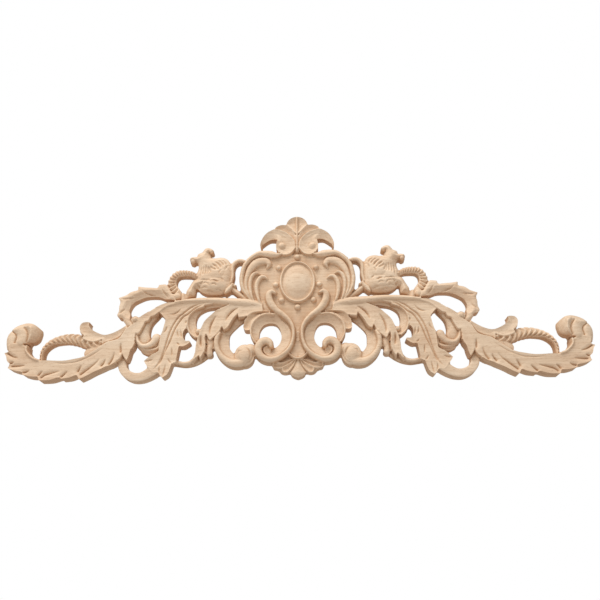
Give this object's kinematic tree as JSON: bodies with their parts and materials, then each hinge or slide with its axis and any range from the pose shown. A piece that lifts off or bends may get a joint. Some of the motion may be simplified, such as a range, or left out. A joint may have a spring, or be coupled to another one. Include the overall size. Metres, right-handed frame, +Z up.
{
  "type": "carved wood applique",
  "caption": "Long pierced wood relief with a flat back: a cartouche with an oval boss under a palmette, flanked by scrolls, acanthus leaves and buds.",
  "frame": {"origin": "on the flat back, behind the middle of the oval boss", "axes": "+X along the length, +Z up towards the palmette, +Y out of the flat back into the wall, so the carved face looks along -Y"},
  "size_m": [0.6012, 0.02, 0.1809],
  "materials": {
    "wood": "raw sanded pale hardwood, unpainted"
  },
  "bodies": {
    "root": {"carved_applique": "wood"}
  },
  "joints": []
}
